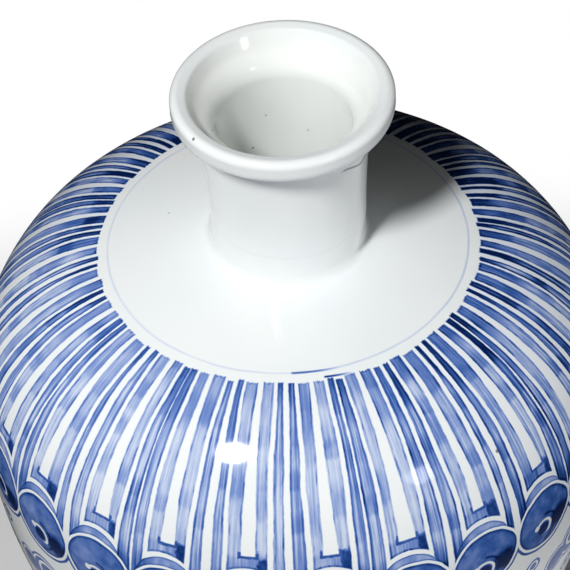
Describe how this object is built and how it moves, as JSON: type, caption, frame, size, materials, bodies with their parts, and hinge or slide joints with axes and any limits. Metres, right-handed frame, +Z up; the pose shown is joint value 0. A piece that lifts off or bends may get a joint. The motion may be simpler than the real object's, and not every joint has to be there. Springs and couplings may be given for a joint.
{
  "type": "meiping vase",
  "caption": "High-shouldered porcelain bottle vase with a narrow waisted neck, a rolled lip with a dished mouth, a tapering body and a flared foot ring; holds a flowering branch.",
  "frame": {"origin": "centre of the foot's rest face, on the vase's axis", "axes": "+Z up along the vase's axis, from the foot to the lip; -Y is the side that the picture shows"},
  "size_m": [0.224, 0.224, 0.3702],
  "materials": {
    "painted_porcelain": "cobalt blue painting under a clear gloss glaze",
    "white_porcelain": "clear gloss glaze on white porcelain",
    "base_porcelain": "thin gloss glaze under the foot",
    "slip": "fired slip"
  },
  "bodies": {
    "root": {"base_disc": "base_porcelain", "base_slip": "slip", "lower_body": "painted_porcelain", "belly_seam_slip": "slip", "belly": "painted_porcelain", "shoulder_seam_slip": "slip", "shoulder": "painted_porcelain", "neck_seam_slip": "slip", "neck": "white_porcelain", "lip_seam_slip": "slip", "lip": "white_porcelain"}
  },
  "joints": []
}
